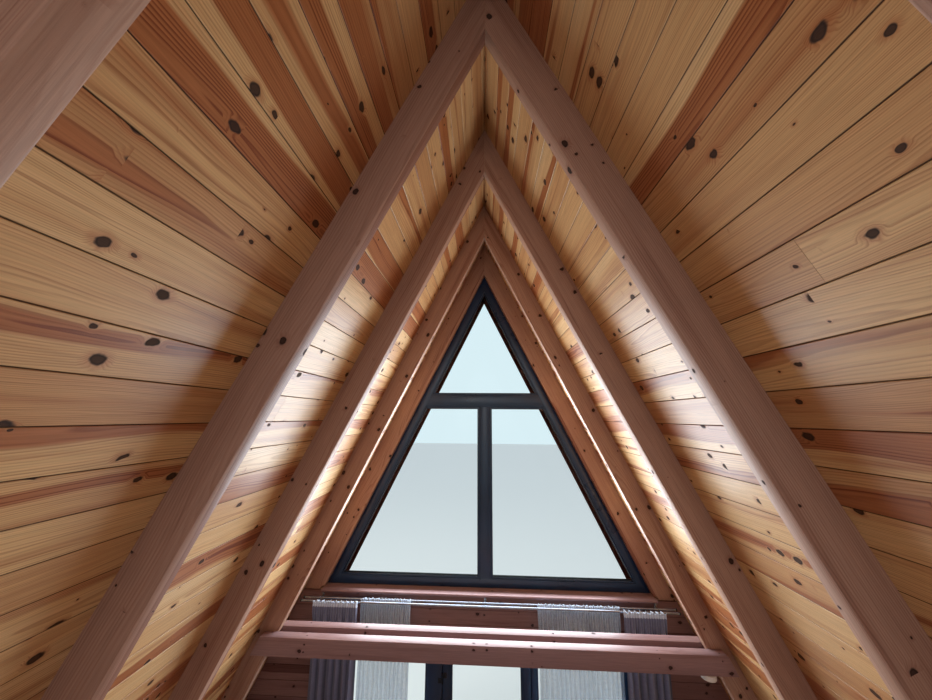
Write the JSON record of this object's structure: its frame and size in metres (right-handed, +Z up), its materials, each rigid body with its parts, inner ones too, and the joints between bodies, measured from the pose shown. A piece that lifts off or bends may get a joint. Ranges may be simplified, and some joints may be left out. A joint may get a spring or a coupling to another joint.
{
  "type": "a-frame cabin gable end",
  "caption": "Glazed gable end of an A-frame cabin: a boarded roof shell on rafter pairs with tie beams, a triangular window, a glazed lower front with a hinged door, curtains and a floor.",
  "frame": {"origin": "on the ground, in the middle of the whole length and width", "axes": "+X to the right for someone inside who faces the glazed gable, +Y along the ridge towards the glazed gable, +Z up"},
  "size_m": [6.723, 6.194, 6.9641],
  "materials": {
    "pine_lining": "satin varnished knotty pine boards",
    "rafter_timber": "satin varnished planed pine",
    "tie_timber": "satin varnished planed pine, paler on top",
    "gable_boards": "satin varnished pine boards",
    "sill_board": "satin varnished pine board with a rounded nose",
    "floor_boards": "varnished pine floor boards",
    "base_timber": "weathered sawn timber",
    "red_stain": "red-brown stained boards",
    "roof_core": "battens and insulation",
    "wall_core": "studs and insulation",
    "roof_metal": "dark coated sheet",
    "dark_frame": "dark blue-grey window profile",
    "window_glass": "clear double glazing",
    "hinge_metal": "dark coated",
    "handle_metal": "brushed",
    "rail_chrome": "polished with black end caps",
    "drape_cloth": "grey-taupe woven drape with a white heading tape",
    "net_cloth": "white net",
    "light_white": "white ring with a dark lens"
  },
  "bodies": {
    "shell": {"ground_beams": "base_timber", "floor_joists": "base_timber", "floor_deck": "floor_boards", "front_sill": "base_timber", "left_rafters": "rafter_timber", "right_rafters": "rafter_timber", "near_ties": "tie_timber", "far_ties": "tie_timber", "left_lining": "pine_lining", "right_lining": "pine_lining", "left_roof_core": "roof_core", "right_roof_core": "roof_core", "left_roof_sheet": "roof_metal", "right_roof_sheet": "roof_metal", "ridge_cap": "roof_metal", "left_barge_board": "red_stain", "right_barge_board": "red_stain", "left_end_board": "red_stain", "right_end_board": "red_stain", "side_gable_walls": "wall_core", "gable_header": "wall_core", "side_inner_boards": "gable_boards", "upper_inner_boards": "gable_boards", "side_cladding": "red_stain", "cladding_bands": "red_stain", "left_window_casing": "red_stain", "right_window_casing": "red_stain", "left_reveal_board": "rafter_timber", "right_reveal_board": "rafter_timber", "window_sills": "sill_board", "window_frame": "dark_frame", "window_glass": "window_glass", "screen_frame": "dark_frame", "side_glass": "window_glass", "frame_hinges": "hinge_metal", "curtain_rails": "rail_chrome", "left_drape": "drape_cloth", "left_net_curtain": "net_cloth", "right_net_curtain": "net_cloth", "right_drape": "drape_cloth", "spot_light": "light_white"},
    "door": {"door_leaf": "dark_frame", "door_glass": "window_glass", "door_handles": "handle_metal"}
  },
  "joints": [
    {"name": "door_hinge", "type": "hinge", "parent": "shell", "child": "door", "pos_m": [-0.4175, 2.253, 1.358], "axis": [0, 0, -1], "range_deg": [0, 90]}
  ]
}
